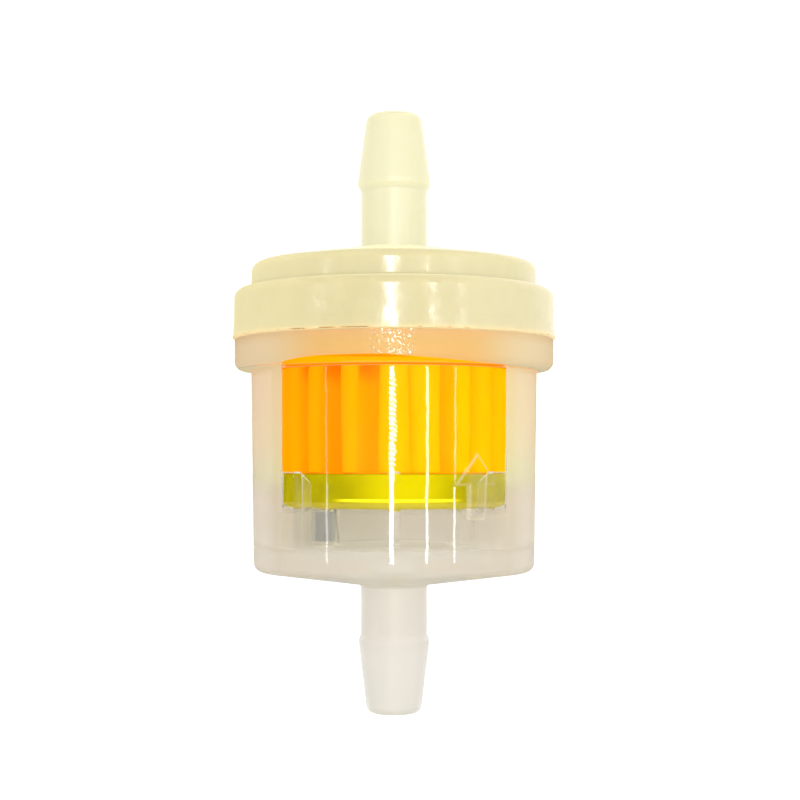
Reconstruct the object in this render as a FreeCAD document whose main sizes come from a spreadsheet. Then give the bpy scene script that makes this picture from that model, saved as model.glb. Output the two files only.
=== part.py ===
import FreeCAD, Part
import math
import os
import re

import Sketcher
from FreeCAD import Placement, Rotation, Vector

# Small inline fuel filter with two hose barbs on one axis.
#
# Frame: +Z runs along the fuel flow. The origin is the centre of the inlet barb's end face, so the
# inlet is at Z = 0 and the outlet at Z = total_length. -Y is the front. Millimetres.
#
# A clear cup and a cream cap are welded together at joint_height. Between them sits the element: a ring of
# pleated paper, glued at its ends into a closed dish (below) and a dish with the outlet hole (above). Fuel
# comes up through the cup's barb, passes the paper from outside to inside and leaves through the cap's barb.

DIMENSIONS = [
    # name, millimetres (or count, degrees), meaning
    ("total_length", 58.0, "inlet barb end to outlet barb end"),
    ("bore_radius", 1.5, "fuel passage through both barbs"),
    ("tip_radius", 2.6, "barb cone at its small end"),
    ("tip_round", 0.85, "rounded edge of both barb ends"),
    ("crest_land", 0.4, "cylindrical land on each barb's crest"),
    ("crest_back", 0.5, "height of the slope behind each crest"),
    ("inlet_crest_radius", 3.4, "inlet barb crest"),
    ("inlet_stem_radius", 3.18, "inlet stem"),
    ("inlet_crest_height", 6.75, "start of the inlet crest land"),
    ("outlet_crest_radius", 3.5, "outlet barb crest"),
    ("outlet_stem_radius", 3.18, "outlet stem"),
    ("outlet_crest_height", 51.05, "start of the outlet crest land"),
    ("joint_height", 36.1, "weld plane between cup and cap"),
    # inlet cup
    ("cup_root_height", 12.45, "underside of the cup at the stem"),
    ("cup_base_height", 13.85, "underside of the cup at its edge, before rounding"),
    ("cup_base_radius", 13.55, "cup wall at the bottom"),
    ("cup_top_radius", 13.8, "cup wall under the rim"),
    ("cup_base_round", 0.9, "rounded bottom corner of the cup"),
    ("cup_root_round", 0.4, "fillet where the inlet stem meets the cup"),
    ("rim_bottom", 33.1, "underside of the weld rim"),
    ("rim_radius", 15.4, "outside of the weld rim"),
    ("rim_round", 0.85, "rounded lower corner of the rim"),
    ("rim_fillet", 0.3, "fillet under the rim"),
    ("mouth_radius", 11.95, "inside of the cup at its mouth"),
    ("chamber_radius", 11.75, "inside of the cup at its floor"),
    ("floor_edge_height", 16.1, "inner floor at the wall"),
    ("floor_root_height", 14.7, "inner floor at the inlet bore"),
    ("floor_round", 0.8, "fillet between inner floor and wall"),
    ("bore_flare", 0.5, "chamfer of the bore at the inner floor"),
    ("tongue_inner_radius", 13.0, "weld tongue on the rim, inside"),
    ("tongue_outer_radius", 13.8, "weld tongue on the rim, outside"),
    ("tongue_height", 0.8, "weld tongue on the rim"),
    # ribs inside the cup that carry the element
    ("rib_count", 8, "ribs around the cup"),
    ("rib_thickness", 1.0, "thickness of a rib"),
    ("rib_leg_radius", 8.05, "inner edge of a rib below the seat"),
    ("rib_seat_radius", 10.7, "inner edge of a rib beside the element"),
    ("rib_seat_height", 20.0, "seat for the element"),
    ("rib_shoulder_height", 22.4, "where the rib's lead-in slope starts"),
    ("rib_top_height", 23.45, "where the lead-in slope meets the wall"),
    ("rib_root_overlap", 0.6, "how far a rib reaches into wall and floor"),
    # raised flow arrow on the cup
    ("arrow_azimuth", 33.0, "degrees from the front towards +X"),
    ("arrow_base_height", 19.2, "foot of the shaft"),
    ("arrow_neck_height", 22.3, "where the head starts"),
    ("arrow_tip_height", 25.0, "point of the arrow"),
    ("arrow_half_width", 2.15, "half the head's width"),
    ("arrow_shaft_half_width", 0.88, "half the shaft's width"),
    ("arrow_relief", 0.25, "how far the arrow stands proud"),
    ("arrow_root", 0.8, "how far the arrow reaches into the wall"),
    # outlet cap
    ("disc_top", 43.45, "top face of the cap's upper disc"),
    ("disc_radius", 13.8, "upper disc"),
    ("disc_round", 0.85, "rounded top edge of the upper disc"),
    ("stem_root_round", 0.75, "fillet where the outlet stem meets the disc"),
    ("flange_top", 41.05, "flange face at the upper disc"),
    ("flange_drop", 0.2, "fall of the flange face to its edge"),
    ("flange_top_radius", 15.42, "flange at its upper edge"),
    ("flange_low_radius", 15.48, "flange where its lip starts to flare"),
    ("lip_radius", 15.62, "lip of the flange at the weld plane"),
    ("lip_height", 1.3, "height of the lip's flare"),
    ("flange_round", 0.95, "rounded upper edge of the flange"),
    ("step_fillet", 0.25, "fillet between upper disc and flange"),
    ("skirt_bottom", 34.0, "lower end of the skirt inside the cup's mouth"),
    ("skirt_gap", 0.05, "gap between skirt and mouth"),
    ("skirt_inner_radius", 11.1, "inside of skirt and cap"),
    ("recess_top", 41.5, "ceiling inside the cap"),
    ("boss_radius", 5.4, "boss that the element's upper end stops against"),
    ("spigot_radius", 3.95, "spigot inside the element's outlet hole"),
    ("spigot_bottom", 38.4, "lower end of the spigot"),
    ("spigot_bore_radius", 2.9, "passage through the spigot"),
    ("funnel_height", 1.4, "cone from the spigot's passage to the bore"),
    # element
    ("end_cap_radius", 10.65, "outside of the lower end cap"),
    ("end_cap_wall", 0.5, "wall of both end caps"),
    ("end_cap_round", 0.6, "rounded edges of the end caps"),
    ("lower_cap_height", 3.3, "lower end cap"),
    ("upper_cap_radius", 10.95, "outside of the upper end cap"),
    ("upper_cap_bottom", 37.6, "lower edge of the upper end cap"),
    ("upper_cap_top", 40.0, "upper face of the upper end cap"),
    ("end_plate", 0.8, "plate thickness of both end caps"),
    ("outlet_hole_radius", 4.0, "hole in the upper end cap"),
    ("outlet_collar_radius", 4.6, "collar around that hole"),
    ("potting_recess", 0.1, "adhesive level below the end caps' edges"),
    ("paper_thickness", 0.35, "filter paper"),
    ("paper_radius", 10.95, "outside of the pleats"),
    ("paper_core_radius", 5.0, "inside of the pleats"),
    ("pleat_count", 18, "pleats"),
    ("pleat_crest_round", 1.25, "outer fold, middle of the paper"),
    ("pleat_valley_round", 0.45, "inner fold, middle of the paper"),
    ("pleat_end_radius", 10.05, "outside of the pleats where the adhesive holds them"),
    ("pleat_embed", 1.6, "depth of paper in the adhesive"),
    ("pleat_clear", 0.15, "full-width pleats stop this far from the end caps"),
    ("seam_half_width", 0.7, "half the glued side seam's width"),
    ("seam_inner_radius", 4.55, "inside of the side seam"),
    ("seam_outer_radius", 5.3, "side seam reaches out to here around the fold"),
]

LENGTH_TOLERANCE = 1e-4
WORD = re.compile(r"[a-z][a-z_]*")


def add_dimensions(doc):
    """Put every driving dimension in a spreadsheet, one alias a row."""
    sheet = doc.addObject("Spreadsheet::Sheet", "Dims")
    for row, (name, value, meaning) in enumerate(DIMENSIONS, start=1):
        sheet.set(f"A{row}", meaning)
        sheet.set(f"B{row}", str(value))
        sheet.setAlias(f"B{row}", name)
    doc.recompute()
    return sheet


class Maker:
    """Builds features whose sizes are bound to the spreadsheet."""

    def __init__(self, doc, sheet):
        self.doc = doc
        self.sheet = sheet
        self.names = {name for name, _, _ in DIMENSIONS}

    def value(self, text):
        """The number that an expression of dimension names gives now."""
        return float(self.sheet.evalExpression(text))

    def formula(self, text):
        """The expression as other objects write it, with the sheet's name before each dimension."""
        def prefixed(match):
            word = match.group(0)
            return f"Dims.{word}" if word in self.names else word
        return WORD.sub(prefixed, text)

    def bind(self, thing, prop, text):
        thing.setExpression(prop, self.formula(text))

    def body(self, name):
        return self.doc.addObject("PartDesign::Body", name)

    def origin_feature(self, body, role):
        for feature in body.Origin.OriginFeatures:
            if feature.Role == role:
                return feature
        raise ValueError(f"{body.Name} has no {role}")

    def outline(self, body, name, points, plane="XZ_Plane"):
        """A closed sketch of straight lines through points given as pairs of expressions."""
        sketch = body.newObject("Sketcher::SketchObject", name)
        sketch.AttachmentSupport = [(self.origin_feature(body, plane), "")]
        sketch.MapMode = "FlatFace"
        corners = [Vector(self.value(x), self.value(y), 0) for x, y in points]
        count = len(corners)
        for index in range(count):
            start = corners[index]
            end = corners[(index + 1) % count]
            sketch.addGeometry(Part.LineSegment(start, end), False)
        for index in range(count):
            following = (index + 1) % count
            sketch.addConstraint(Sketcher.Constraint("Coincident", index, 2, following, 1))
        for index, (x, y) in enumerate(points):
            self.place_point(sketch, index, "DistanceX", x, corners[index].x)
            self.place_point(sketch, index, "DistanceY", y, corners[index].y)
        return sketch

    def place_point(self, sketch, line, direction, text, size):
        """Fix the start of a line at a distance from the sketch's origin, or on its axis for 0."""
        if text == "0":
            axis = -2 if direction == "DistanceX" else -1
            sketch.addConstraint(Sketcher.Constraint("PointOnObject", line, 1, axis))
            return
        number = sketch.addConstraint(Sketcher.Constraint(direction, -1, 1, line, 1, size))
        self.bind(sketch, f"Constraints[{number}]", text)

    def revolve(self, body, name, points):
        """A full turn of an outline in the XZ plane about Z."""
        sketch = self.outline(body, f"{name}_outline", points)
        turn = body.newObject("PartDesign::Revolution", name)
        turn.Profile = sketch
        turn.ReferenceAxis = (sketch, ["V_Axis"])
        turn.Angle = 360.0
        self.doc.recompute()
        return turn

    def round_rings(self, body, name, rings):
        """Round circular edges, each given as radius, height and rounding, all expressions."""
        for number, (radius, height, rounding) in enumerate(rings, start=1):
            base = body.Tip
            fillet = body.newObject("PartDesign::Fillet", f"{name}_{number}")
            edges = self.ring_edges(base.Shape, self.value(radius), self.value(height))
            fillet.Base = (base, edges)
            self.bind(fillet, "Radius", rounding)
            self.doc.recompute()

    def ring_edges(self, shape, radius, height):
        found = []
        for number, edge in enumerate(shape.Edges, start=1):
            curve = edge.Curve
            if not isinstance(curve, Part.Circle):
                continue
            same_radius = abs(curve.Radius - radius) < LENGTH_TOLERANCE
            same_height = abs(curve.Center.z - height) < LENGTH_TOLERANCE
            if same_radius and same_height:
                found.append(f"Edge{number}")
        if not found:
            raise ValueError(f"no ring of radius {radius} at height {height}")
        return found


def make_inlet_cup(maker):
    """Clear cup: barb, stem, draughted wall, weld rim with tongue, stepped ribs and flow arrow."""
    body = maker.body("cup_body")
    maker.revolve(body, "cup_shell", [
        ("bore_radius", "0"),
        ("tip_radius", "0"),
        ("inlet_crest_radius", "inlet_crest_height"),
        ("inlet_crest_radius", "inlet_crest_height + crest_land"),
        ("inlet_stem_radius", "inlet_crest_height + crest_land + crest_back"),
        ("inlet_stem_radius", "cup_root_height"),
        ("cup_base_radius", "cup_base_height"),
        ("cup_top_radius", "rim_bottom"),
        ("rim_radius", "rim_bottom"),
        ("rim_radius", "joint_height"),
        ("tongue_outer_radius", "joint_height"),
        ("tongue_outer_radius", "joint_height + tongue_height"),
        ("tongue_inner_radius", "joint_height + tongue_height"),
        ("tongue_inner_radius", "joint_height"),
        ("mouth_radius", "joint_height"),
        ("chamber_radius", "floor_edge_height"),
        ("bore_radius + bore_flare", "floor_root_height"),
        ("bore_radius", "floor_root_height - bore_flare"),
    ])
    maker.round_rings(body, "cup_round", [
        ("tip_radius", "0", "tip_round"),
        ("inlet_stem_radius", "cup_root_height", "cup_root_round"),
        ("cup_base_radius", "cup_base_height", "cup_base_round"),
        ("rim_radius", "rim_bottom", "rim_round"),
        ("cup_top_radius", "rim_bottom", "rim_fillet"),
        ("chamber_radius", "floor_edge_height", "floor_round"),
    ])
    add_ribs(maker, body)

    cup = maker.doc.addObject("Part::Fuse", "inlet_cup")
    cup.Base = body
    cup.Tool = make_arrow(maker)
    cup.Label = "inlet_cup"
    return cup


def add_ribs(maker, body):
    """Stepped ribs that stand on the cup's floor, hold the element's sides and carry its end."""
    sketch = maker.outline(body, "rib_outline", [
        ("rib_leg_radius", "floor_edge_height - rib_root_overlap - floor_round"),
        ("chamber_radius + rib_root_overlap", "floor_edge_height - rib_root_overlap - floor_round"),
        ("chamber_radius + rib_root_overlap", "rib_top_height + rib_root_overlap"),
        ("rib_seat_radius", "rib_shoulder_height"),
        ("rib_seat_radius", "rib_seat_height"),
        ("rib_leg_radius", "rib_seat_height"),
    ])
    rib = body.newObject("PartDesign::Pad", "rib")
    rib.Profile = sketch
    rib.Midplane = True
    maker.bind(rib, "Length", "rib_thickness")
    maker.doc.recompute()
    ring = body.newObject("PartDesign::PolarPattern", "rib_ring")
    ring.Originals = [rib]
    ring.Axis = (maker.origin_feature(body, "Z_Axis"), [""])
    ring.Angle = 360.0
    maker.bind(ring, "Occurrences", "rib_count")
    body.Tip = ring
    maker.doc.recompute()


def make_arrow(maker):
    """Raised arrow that follows the cup's draughted wall and points along the flow."""
    doc = maker.doc
    body = maker.body("arrow_prism")
    sketch = maker.outline(body, "arrow_outline", [
        ("0", "arrow_tip_height"),
        ("-arrow_half_width", "arrow_neck_height"),
        ("-arrow_shaft_half_width", "arrow_neck_height"),
        ("-arrow_shaft_half_width", "arrow_base_height"),
        ("arrow_shaft_half_width", "arrow_base_height"),
        ("arrow_shaft_half_width", "arrow_neck_height"),
        ("arrow_half_width", "arrow_neck_height"),
    ])
    pad = body.newObject("PartDesign::Pad", "arrow_pad")
    pad.Profile = sketch
    maker.bind(pad, "Length", "rim_radius")
    body.Placement = Placement(Vector(), Rotation(Vector(0, 0, 1), 0.0))
    maker.bind(body, "Placement.Rotation.Angle", "arrow_azimuth * 1 deg")
    doc.recompute()

    layers = []
    for name, offset in (("arrow_outside", "+ arrow_relief"), ("arrow_inside", "- arrow_root")):
        cone = doc.addObject("Part::Cone", name)
        maker.bind(cone, "Radius1", f"cup_base_radius {offset}")
        maker.bind(cone, "Radius2", f"cup_top_radius {offset}")
        maker.bind(cone, "Height", "rim_bottom - cup_base_height")
        maker.bind(cone, "Placement.Base.z", "cup_base_height")
        layers.append(cone)
    layer = doc.addObject("Part::Cut", "arrow_layer")
    layer.Base, layer.Tool = layers
    arrow = doc.addObject("Part::Common", "arrow")
    arrow.Base = body
    arrow.Tool = layer
    return arrow


def make_outlet_cap(maker):
    """Cream cap: barb, stem, upper disc, weld flange with groove, skirt, boss and spigot."""
    body = maker.body("outlet_cap")
    maker.revolve(body, "cap_shell", [
        ("bore_radius", "total_length"),
        ("tip_radius", "total_length"),
        ("outlet_crest_radius", "outlet_crest_height + crest_land"),
        ("outlet_crest_radius", "outlet_crest_height"),
        ("outlet_stem_radius", "outlet_crest_height - crest_back"),
        ("outlet_stem_radius", "disc_top"),
        ("disc_radius", "disc_top"),
        ("disc_radius", "flange_top"),
        ("flange_top_radius", "flange_top - flange_drop"),
        ("flange_low_radius", "joint_height + lip_height"),
        ("lip_radius", "joint_height"),
        ("tongue_outer_radius", "joint_height"),
        ("tongue_outer_radius", "joint_height + tongue_height"),
        ("tongue_inner_radius", "joint_height + tongue_height"),
        ("tongue_inner_radius", "joint_height"),
        ("mouth_radius - skirt_gap", "joint_height"),
        ("mouth_radius - skirt_gap", "skirt_bottom"),
        ("skirt_inner_radius", "skirt_bottom"),
        ("skirt_inner_radius", "recess_top"),
        ("boss_radius", "recess_top"),
        ("boss_radius", "upper_cap_top"),
        ("spigot_radius", "upper_cap_top"),
        ("spigot_radius", "spigot_bottom"),
        ("spigot_bore_radius", "spigot_bottom"),
        ("spigot_bore_radius", "recess_top"),
        ("bore_radius", "recess_top + funnel_height"),
    ])
    maker.round_rings(body, "cap_round", [
        ("tip_radius", "total_length", "tip_round"),
        ("outlet_stem_radius", "disc_top", "stem_root_round"),
        ("disc_radius", "disc_top", "disc_round"),
        ("disc_radius", "flange_top", "step_fillet"),
        ("flange_top_radius", "flange_top - flange_drop", "flange_round"),
    ])
    body.Label = "outlet_cap"
    return body


def make_lower_end_cap(maker):
    """Closed dish at the element's lower end."""
    body = maker.body("lower_end_cap")
    maker.revolve(body, "lower_dish", [
        ("0", "rib_seat_height"),
        ("end_cap_radius", "rib_seat_height"),
        ("end_cap_radius", "rib_seat_height + lower_cap_height"),
        ("end_cap_radius - end_cap_wall", "rib_seat_height + lower_cap_height"),
        ("end_cap_radius - end_cap_wall", "rib_seat_height + end_plate"),
        ("0", "rib_seat_height + end_plate"),
    ])
    maker.round_rings(body, "lower_dish_round", [
        ("end_cap_radius", "rib_seat_height", "end_cap_round"),
    ])
    body.Label = "lower_end_cap"
    return body


def make_upper_end_cap(maker):
    """Dish with a collared outlet hole at the element's upper end, open side down."""
    body = maker.body("upper_end_cap")
    maker.revolve(body, "upper_dish", [
        ("outlet_hole_radius", "upper_cap_top"),
        ("upper_cap_radius", "upper_cap_top"),
        ("upper_cap_radius", "upper_cap_bottom"),
        ("upper_cap_radius - end_cap_wall", "upper_cap_bottom"),
        ("upper_cap_radius - end_cap_wall", "upper_cap_top - end_plate"),
        ("outlet_collar_radius", "upper_cap_top - end_plate"),
        ("outlet_collar_radius", "upper_cap_bottom"),
        ("outlet_hole_radius", "upper_cap_bottom"),
    ])
    maker.round_rings(body, "upper_dish_round", [
        ("upper_cap_radius", "upper_cap_top", "end_cap_round"),
    ])
    body.Label = "upper_end_cap"
    return body


def potted(maker, name, points, paper):
    """A ring or disc of adhesive that has set around the ends of the pleats."""
    body = maker.body(f"{name}_fill")
    maker.revolve(body, f"{name}_disc", points)
    cut = maker.doc.addObject("Part::Cut", name)
    cut.Base = body
    cut.Tool = paper
    cut.Label = name
    return cut


def make_lower_potting(maker, paper):
    floor = "rib_seat_height + end_plate"
    level = "rib_seat_height + lower_cap_height - potting_recess"
    return potted(maker, "lower_potting", [
        ("0", floor),
        ("end_cap_radius - end_cap_wall", floor),
        ("end_cap_radius - end_cap_wall", level),
        ("0", level),
    ], paper)


def make_upper_potting(maker, paper):
    ceiling = "upper_cap_top - end_plate"
    level = "upper_cap_bottom + potting_recess"
    return potted(maker, "upper_potting", [
        ("outlet_collar_radius", level),
        ("upper_cap_radius - end_cap_wall", level),
        ("upper_cap_radius - end_cap_wall", ceiling),
        ("outlet_collar_radius", ceiling),
    ], paper)


def pleat_wire(maker, outer_radius, offset):
    """Closed outline of the pleats, offset sideways from the middle of the paper.

    Each pleat is an outer fold centred on its own direction and an inner fold centred half a pitch on.
    The paper between two folds is the straight line that touches both circles and crosses between them.
    """
    count = int(maker.value("pleat_count"))
    half_pitch = math.pi / count
    crest_round = maker.value("pleat_crest_round")
    valley_round = maker.value("pleat_valley_round")
    half_paper = maker.value("paper_thickness") / 2
    crest_distance = outer_radius - half_paper - crest_round
    valley_distance = maker.value("paper_core_radius") + half_paper + valley_round

    crest = Vector(crest_distance, 0, 0)
    valley = Vector(valley_distance * math.cos(half_pitch), valley_distance * math.sin(half_pitch), 0)
    along = (valley - crest).normalize()
    across = Vector(along.y, -along.x, 0)
    lean = math.acos((crest_round + valley_round) / crest.distanceToPoint(valley))
    normal = along * math.cos(lean) + across * math.sin(lean)
    crest_end = crest + normal * (crest_round + offset)
    valley_start = valley - normal * (valley_round - offset)
    crest_start = Vector(crest_end.x, -crest_end.y, 0)
    crest_top = Vector(crest_distance + crest_round + offset, 0, 0)

    turn = Rotation(Vector(0, 0, 1), math.degrees(2 * half_pitch))
    mirror = Vector(valley_start.x, -valley_start.y, 0)
    valley_end = turn.multVec(mirror)
    valley_depth = valley_distance - valley_round + offset
    valley_bottom = Vector(valley_depth * math.cos(half_pitch), valley_depth * math.sin(half_pitch), 0)
    next_crest_start = turn.multVec(crest_start)

    pleat = [
        Part.Arc(crest_start, crest_top, crest_end).toShape(),
        Part.LineSegment(crest_end, valley_start).toShape(),
        Part.Arc(valley_start, valley_bottom, valley_end).toShape(),
        Part.LineSegment(valley_end, next_crest_start).toShape(),
    ]
    edges = []
    for index in range(count):
        for edge in pleat:
            copy = edge.copy()
            copy.rotate(Vector(), Vector(0, 0, 1), math.degrees(2 * half_pitch) * index)
            edges.append(copy)
    return Part.Wire(Part.__sortEdges__(edges))


def pleat_prism(maker, outer_radius, bottom, top):
    """The folded paper between two heights."""
    half_paper = maker.value("paper_thickness") / 2
    outside = Part.Face(pleat_wire(maker, outer_radius, half_paper))
    inside = Part.Face(pleat_wire(maker, outer_radius, -half_paper))
    sheet = outside.cut(inside)
    sheet.translate(Vector(0, 0, bottom))
    return sheet.extrude(Vector(0, 0, top - bottom))


def make_pleated_paper(maker):
    """Pleated ring, full width between the end caps and drawn in where the adhesive holds it."""
    lower_edge = maker.value("rib_seat_height + lower_cap_height")
    upper_edge = maker.value("upper_cap_bottom")
    embed = maker.value("pleat_embed")
    clear = maker.value("pleat_clear")
    wide = maker.value("paper_radius")
    narrow = maker.value("pleat_end_radius")
    middle = pleat_prism(maker, wide, lower_edge + clear, upper_edge - clear)
    lower = pleat_prism(maker, narrow, lower_edge - embed, lower_edge + clear)
    upper = pleat_prism(maker, narrow, upper_edge - clear, upper_edge + embed - clear)
    paper = maker.doc.addObject("Part::Feature", "pleated_paper")
    paper.Shape = middle.fuse([lower, upper])
    paper.Placement = Placement()
    paper.Label = "pleated_paper"
    maker.doc.recompute()
    return paper


def make_paper_seam(maker, paper):
    """Strip of adhesive that joins the paper's two ends, inside one inner fold at the back."""
    body = maker.body("seam_strip")
    sketch = maker.outline(body, "seam_outline", [
        ("seam_inner_radius", "-seam_half_width"),
        ("seam_outer_radius", "-seam_half_width"),
        ("seam_outer_radius", "seam_half_width"),
        ("seam_inner_radius", "seam_half_width"),
    ], plane="XY_Plane")
    sketch.AttachmentOffset = Placement()
    maker.bind(sketch, "AttachmentOffset.Base.z", "rib_seat_height + lower_cap_height")
    pad = body.newObject("PartDesign::Pad", "seam_pad")
    pad.Profile = sketch
    maker.bind(pad, "Length", "upper_cap_bottom - rib_seat_height - lower_cap_height")
    body.Placement = Placement(Vector(), Rotation(Vector(0, 0, 1), 0.0))
    maker.bind(body, "Placement.Rotation.Angle", "(90 + 180 / pleat_count) * 1 deg")
    seam = maker.doc.addObject("Part::Cut", "paper_seam")
    seam.Base = body
    seam.Tool = paper
    seam.Label = "paper_seam"
    return seam


def check(doc, pieces):
    """Stop if any object failed to compute or any piece isn't one valid closed solid."""
    for thing in doc.Objects:
        if "Invalid" in thing.State or "Error" in thing.State:
            raise RuntimeError(f"{thing.Name} failed: {thing.State}")
    for piece in pieces:
        shape = piece.Shape
        if shape.isNull() or not shape.isValid():
            raise RuntimeError(f"{piece.Label} has no valid shape")
        if len(shape.Solids) != 1 or not shape.isClosed():
            raise RuntimeError(f"{piece.Label} has {len(shape.Solids)} solids")


def main():
    doc = FreeCAD.newDocument("fuel_filter")
    maker = Maker(doc, add_dimensions(doc))
    paper = make_pleated_paper(maker)
    pieces = [
        make_inlet_cup(maker),
        make_outlet_cap(maker),
        paper,
        make_paper_seam(maker, paper),
        make_lower_end_cap(maker),
        make_lower_potting(maker, paper),
        make_upper_end_cap(maker),
        make_upper_potting(maker, paper),
    ]
    doc.recompute()
    check(doc, pieces)
    os.makedirs("parts", exist_ok=True)
    for piece in pieces:
        piece.Shape.exportStep(f"parts/{piece.Label}.step")
        print(piece.Label, round(piece.Shape.Volume, 1), "mm3", len(piece.Shape.Faces), "faces")


main()
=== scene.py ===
import math
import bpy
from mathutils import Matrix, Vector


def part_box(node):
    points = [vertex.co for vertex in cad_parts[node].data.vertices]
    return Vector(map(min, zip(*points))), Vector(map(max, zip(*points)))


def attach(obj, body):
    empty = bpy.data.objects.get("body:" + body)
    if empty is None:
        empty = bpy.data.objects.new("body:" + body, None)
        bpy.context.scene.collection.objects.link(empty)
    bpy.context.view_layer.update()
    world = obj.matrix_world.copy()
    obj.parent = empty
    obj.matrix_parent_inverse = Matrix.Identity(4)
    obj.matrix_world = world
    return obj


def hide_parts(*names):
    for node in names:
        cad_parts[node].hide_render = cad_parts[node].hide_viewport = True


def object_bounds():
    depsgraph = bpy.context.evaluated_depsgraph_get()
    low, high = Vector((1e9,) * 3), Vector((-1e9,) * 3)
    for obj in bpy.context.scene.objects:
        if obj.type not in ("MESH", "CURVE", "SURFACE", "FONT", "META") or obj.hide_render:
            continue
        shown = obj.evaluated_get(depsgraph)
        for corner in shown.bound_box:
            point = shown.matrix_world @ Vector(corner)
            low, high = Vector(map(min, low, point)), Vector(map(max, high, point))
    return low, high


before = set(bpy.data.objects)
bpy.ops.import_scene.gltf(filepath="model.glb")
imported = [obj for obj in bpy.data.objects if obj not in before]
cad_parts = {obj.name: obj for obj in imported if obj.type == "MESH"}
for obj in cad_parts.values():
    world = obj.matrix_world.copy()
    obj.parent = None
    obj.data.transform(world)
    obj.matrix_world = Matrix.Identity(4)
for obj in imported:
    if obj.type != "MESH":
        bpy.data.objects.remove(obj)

from types import SimpleNamespace

import bpy
import numpy as np

# Looks for the inline fuel filter: a clear cup, a cream cap and a pleated paper element on one axis.
# Lengths are millimetres in the row frame, and MM turns them into metres where a mesh, a light or the
# camera is made. An azimuth is an angle from the front (-Y) towards +X, in degrees.

MM = 0.001
CAD_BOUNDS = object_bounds()


def node_box(node):
    """Lowest and highest corners of a CAD node, in millimetres."""
    low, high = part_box(node)
    return low / MM, high / MM


_, CUP_HIGH = node_box("inlet_cup")
CAP_LOW, CAP_HIGH = node_box("outlet_cap")
DISH_LOW, DISH_HIGH = node_box("lower_end_cap")
PAPER_LOW, PAPER_HIGH = node_box("pleated_paper")
UPPER_LOW, UPPER_HIGH = node_box("upper_end_cap")

# both barbs
LENGTH = CAP_HIGH.z
BORE = 1.5
TIP_RADIUS = 2.6
TIP_ROUND = 0.85
STEM = 3.18
CREST_LAND = 0.4
CREST_BACK = 0.5
INLET_CREST_RADIUS = 3.4
INLET_CREST = 6.75
OUTLET_CREST_RADIUS = 3.5
OUTLET_CREST = 51.05

# the weld between cup and cap
TONGUE = 0.8
TONGUE_INNER = 13.0
TONGUE_OUTER = 13.8
TONGUE_GAP = 0.05
JOINT = CUP_HIGH.z - TONGUE
JOINT_GAP = 0.01

# cup
CUP_ROOT = 12.45
WALL_LOW_RADIUS = 13.55
WALL_TOP_RADIUS = 13.8
WALL_LOW = 13.85
RIM_LOW = 33.1
RIM_RADIUS = CUP_HIGH.x
CHAMBER_RADIUS = 11.75
CHAMBER_TOP_RADIUS = CHAMBER_RADIUS + 0.02
MOUTH_RADIUS = 11.95
FLOOR_EDGE = 16.1
FLOOR_ROOT = 14.7
BORE_FLARE = 0.5

# ribs in the cup
RIB_COUNT = 8
RIB_PITCH = 360 / RIB_COUNT
RIB_HALF = 0.5
RIB_BEVEL = 0.36
RIB_LEG_RADIUS = 8.05
RIB_SEAT_RADIUS = DISH_HIGH.x + 0.05
RIB_SEAT = DISH_LOW.z
RIB_SHOULDER = 22.4
RIB_TOP = 23.45

# raised arrow on the cup
ARROW_AZIMUTH = 33.0
ARROW_FOOT = 19.2
ARROW_NECK = 22.3
ARROW_TIP = 25.0
ARROW_HALF = 2.15
ARROW_SHAFT_HALF = 0.88
ARROW_RELIEF = 0.25

# cap
DISC_TOP = 43.45
DISC_RADIUS = 13.8
FLANGE_TOP = 41.05
FLANGE_DROP = 0.2
FLANGE_TOP_RADIUS = 15.42
FLANGE_LOW_RADIUS = 15.48
LIP_RADIUS = CAP_HIGH.x
LIP_HEIGHT = 1.3
SKIRT_INNER = 11.1
CEILING = 41.5
BOSS_RADIUS = 5.4
SPIGOT_RADIUS = 3.95
SPIGOT_LOW = 38.4
SPIGOT_BORE = 2.9
FUNNEL = 1.4


# ---------------------------------------------------------------- outlines and meshes

def rounded(corners, arc_step=9.0):
    """Points along an open outline of (radius, height, rounding) corners, with each rounding as an arc."""
    points = []
    for index, (x, z, rounding) in enumerate(corners):
        here = np.array([x, z], float)
        if rounding <= 0 or index in (0, len(corners) - 1):
            points.append(here)
            continue
        before = np.array(corners[index - 1][:2], float) - here
        after = np.array(corners[index + 1][:2], float) - here
        before /= np.linalg.norm(before)
        after /= np.linalg.norm(after)
        inside = math.acos(float(np.clip(before @ after, -1, 1)))
        reach = rounding / math.tan(inside / 2)
        start = here + before * reach
        middle = here + (before + after) / np.linalg.norm(before + after) * rounding / math.sin(inside / 2)
        sweep = math.pi - inside
        steps = max(2, math.ceil(math.degrees(sweep) / arc_step))
        first = start - middle
        side = first[0] * after[1] - first[1] * after[0]
        for step in range(steps + 1):
            angle = math.copysign(sweep * step / steps, side)
            turn = np.array([[math.cos(angle), -math.sin(angle)], [math.sin(angle), math.cos(angle)]])
            points.append(middle + turn @ first)
    return np.array(points)


def divided(points, longest):
    """The same outline with no step longer than longest."""
    result = [points[0]]
    for start, end in zip(points[:-1], points[1:]):
        parts = max(1, math.ceil(np.linalg.norm(end - start) / longest))
        result += [start + (end - start) * k / parts for k in range(1, parts + 1)]
    return np.array(result)


def resampled(points, count):
    """count points at equal steps along an outline."""
    lengths = np.concatenate([[0], np.cumsum(np.linalg.norm(np.diff(points, axis=0), axis=1))])
    wanted = np.linspace(0, lengths[-1], count)
    return np.stack([np.interp(wanted, lengths, points[:, axis]) for axis in (0, 1)], axis=1)


def polar(radius, azimuth):
    """X and Y of points at a radius and an azimuth in degrees."""
    angle = np.radians(azimuth)
    return radius * np.sin(angle), -radius * np.cos(angle)


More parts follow.
